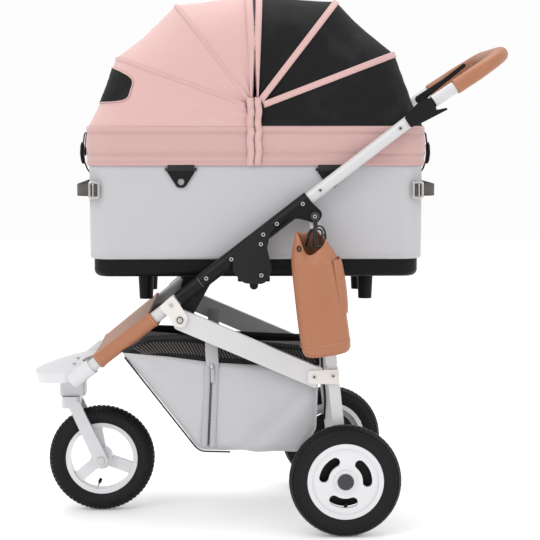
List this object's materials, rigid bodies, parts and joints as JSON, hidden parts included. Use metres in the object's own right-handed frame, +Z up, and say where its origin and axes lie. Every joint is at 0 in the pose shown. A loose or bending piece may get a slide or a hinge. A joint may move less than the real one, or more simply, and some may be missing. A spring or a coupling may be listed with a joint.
{
  "type": "pet stroller",
  "caption": "Three-wheeled folding pet stroller with a lift-off soft cot, domed pink and mesh hood, under-rail basket, leather grip and hanging pouch.",
  "frame": {"origin": "on the floor, midway along the length of the wheels and handle and in the middle plane between the rear wheels", "axes": "+Z up, +X towards the handle (the front wheel is at -X), -Y is the user's left"},
  "size_m": [1.0288, 0.633, 1.1432],
  "materials": {
    "frame_white": "satin powder coat",
    "plate_white": "satin powder coat, slightly warm",
    "bracket_black": "satin black",
    "dock_black": "flat black plate",
    "plastic_black": "moulded, fine texture",
    "tray_black": "moulded, satin",
    "steel": "bright plated screws",
    "tyre": "moulded rubber with tread",
    "rim_white": "moulded, semi gloss",
    "hub_grey": "moulded, satin",
    "cast_white": "moulded, semi gloss",
    "leather": "smooth tan imitation leather",
    "cable_black": "sheathed cable",
    "cot_grey": "woven light grey fabric",
    "hood_pink": "woven dusty pink fabric",
    "mesh_black": "open knitted mesh",
    "webbing_black": "woven webbing",
    "webbing_grey": "woven webbing",
    "basket_grey": "coated woven fabric",
    "pad_grey": "quilted fabric",
    "hoop_steel": "drawn rod"
  },
  "bodies": {
    "root": {"upper_tube_left": "frame_white", "upper_tube_right": "frame_white", "side_bracket_left": "bracket_black", "side_bracket_right": "bracket_black", "dock_plates": "dock_black", "dock_crossbar": "plastic_black", "knuckles": "plastic_black", "rail_left": "frame_white", "rail_right": "frame_white", "rear_plates": "plate_white", "struts": "frame_white", "rear_legs": "frame_white", "rear_axle": "bracket_black", "brake_drums": "plastic_black", "brake_cables": "cable_black", "frame_screws": "steel", "handle_joints": "plastic_black", "basket": "basket_grey"},
    "front_frame": {"front_casting": "cast_white", "head_block": "cast_white", "front_tube_left": "frame_white", "front_tube_right": "frame_white", "front_cover": "leather", "front_plates": "plate_white", "front_screws": "steel"},
    "fork": {"fork": "cast_white", "front_axle": "steel"},
    "front_wheel": {"front_tyre": "tyre", "front_rim": "rim_white"},
    "rear_wheel_left": {"rear_tyre_left": "tyre", "rear_rim_left": "rim_white", "hub_cap_left": "hub_grey"},
    "rear_wheel_right": {"rear_tyre_right": "tyre", "rear_rim_right": "rim_white", "hub_cap_right": "hub_grey"},
    "lock_sleeve_left": {"lock_sleeve_left": "plastic_black"},
    "lock_sleeve_right": {"lock_sleeve_right": "plastic_black"},
    "handle": {"handle_yokes": "plastic_black", "handle_tube": "frame_white", "handle_grip": "leather"},
    "brake_lever": {"brake_lever": "plastic_black"},
    "cot": {"cot_shell": "cot_grey", "cot_tray": "tray_black", "cot_feet": "tray_black", "floor_pad": "pad_grey", "cot_skirt": "hood_pink", "carry_straps": "webbing_grey", "ring_hangers": "webbing_black", "hood_stays": "plastic_black"},
    "strap_rings_left": {"strap_rings_left": "plastic_black"},
    "strap_rings_right": {"strap_rings_right": "plastic_black"},
    "hoop_front_2": {"hoop_front_2": "hoop_steel", "hood_front_fabric": "hood_pink"},
    "hoop_front_1": {"hoop_front_1": "hoop_steel"},
    "hoop_front_centre": {"hoop_front_centre": "hoop_steel"},
    "hoop_rear_2": {"hoop_rear_2": "hoop_steel", "hood_rear_mesh": "mesh_black"},
    "hoop_rear_1": {"hoop_rear_1": "hoop_steel"},
    "hoop_rear_centre": {"hoop_rear_centre": "hoop_steel"},
    "pouch": {"pouch": "leather"}
  },
  "joints": [
    {"name": "front_fold", "type": "hinge", "parent": "root", "child": "front_frame", "pos_m": [-0.195, 0, 0.455], "axis": [0, -1, 0], "range_deg": [0, 60], "deforming": ["basket"]},
    {"name": "fork_swivel", "type": "hinge", "parent": "front_frame", "child": "fork", "pos_m": [-0.443, 0, 0.262], "axis": [0, 0, 1], "continuous": true},
    {"name": "front_wheel_spin", "type": "hinge", "parent": "fork", "child": "front_wheel", "pos_m": [-0.378, 0, 0.118], "axis": [0, 1, 0], "continuous": true},
    {"name": "rear_wheel_left_spin", "type": "hinge", "parent": "root", "child": "rear_wheel_left", "pos_m": [0.1505, -0.262, 0.118], "axis": [0, 1, 0], "continuous": true},
    {"name": "rear_wheel_right_spin", "type": "hinge", "parent": "root", "child": "rear_wheel_right", "pos_m": [0.1505, 0.262, 0.118], "axis": [0, 1, 0], "continuous": true},
    {"name": "sleeve_left_slide", "type": "slide", "parent": "root", "child": "lock_sleeve_left", "axis": [0.7917, 0, 0.611], "range_m": [0, 0.022]},
    {"name": "sleeve_right_slide", "type": "slide", "parent": "root", "child": "lock_sleeve_right", "axis": [0.7917, 0, 0.611], "range_m": [0, 0.022]},
    {"name": "handle_tilt", "type": "hinge", "parent": "root", "child": "handle", "pos_m": [0.31853, 0, 0.89947], "axis": [0, -1, 0], "range_deg": [-60, 30]},
    {"name": "brake_squeeze", "type": "hinge", "parent": "handle", "child": "brake_lever", "pos_m": [0.30721, -0.206, 0.91476], "axis": [0, 1, 0], "range_deg": [0, 8], "stiffness_Nm_per_rad": 0.5, "springref_deg": -17.19},
    {"name": "cot_lift", "type": "slide", "parent": "root", "child": "cot", "axis": [0, 0, 1], "range_m": [0, 0.62]},
    {"name": "ring_left_swing", "type": "hinge", "parent": "cot", "child": "strap_rings_left", "pos_m": [-0.0345, -0.2015, 0.768], "axis": [-1, 0, 0], "range_deg": [0, 10]},
    {"name": "ring_right_swing", "type": "hinge", "parent": "cot", "child": "strap_rings_right", "pos_m": [-0.0345, 0.2015, 0.768], "axis": [1, 0, 0], "range_deg": [0, 10]},
    {"name": "pouch_swing", "type": "hinge", "parent": "root", "child": "pouch", "pos_m": [0.0861, -0.25, 0.67196], "axis": [0, -1, 0], "range_deg": [0, 20]},
    {"name": "hood_front_2", "type": "hinge", "parent": "cot", "child": "hoop_front_2", "pos_m": [-0.038, 0, 0.896], "axis": [0, -1, 0], "range_deg": [0, 12], "deforming": ["hood_front_fabric"]},
    {"name": "hood_front_1", "type": "hinge", "parent": "hoop_front_2", "child": "hoop_front_1", "pos_m": [-0.038, 0, 0.896], "axis": [0, -1, 0], "range_deg": [0, 28.5], "deforming": ["hood_front_fabric"]},
    {"name": "hood_front_centre", "type": "hinge", "parent": "hoop_front_1", "child": "hoop_front_centre", "pos_m": [-0.038, 0, 0.896], "axis": [0, -1, 0], "range_deg": [0, 33], "deforming": ["hood_front_fabric"]},
    {"name": "hood_rear_2", "type": "hinge", "parent": "cot", "child": "hoop_rear_2", "pos_m": [-0.038, 0, 0.896], "axis": [0, 1, 0], "range_deg": [0, 12], "deforming": ["hood_rear_mesh"]},
    {"name": "hood_rear_1", "type": "hinge", "parent": "hoop_rear_2", "child": "hoop_rear_1", "pos_m": [-0.038, 0, 0.896], "axis": [0, 1, 0], "range_deg": [0, 27], "deforming": ["hood_rear_mesh"]},
    {"name": "hood_rear_centre", "type": "hinge", "parent": "hoop_rear_1", "child": "hoop_rear_centre", "pos_m": [-0.038, 0, 0.896], "axis": [0, 1, 0], "range_deg": [0, 32], "deforming": ["hood_rear_mesh"]}
  ],
  "couplings": [
    {"joint": "hood_front_1", "follows": "hood_front_2", "ratio": 2.375},
    {"joint": "hood_front_centre", "follows": "hood_front_2", "ratio": 2.75},
    {"joint": "hood_rear_1", "follows": "hood_rear_2", "ratio": 2.25},
    {"joint": "hood_rear_centre", "follows": "hood_rear_2", "ratio": 2.6667}
  ]
}
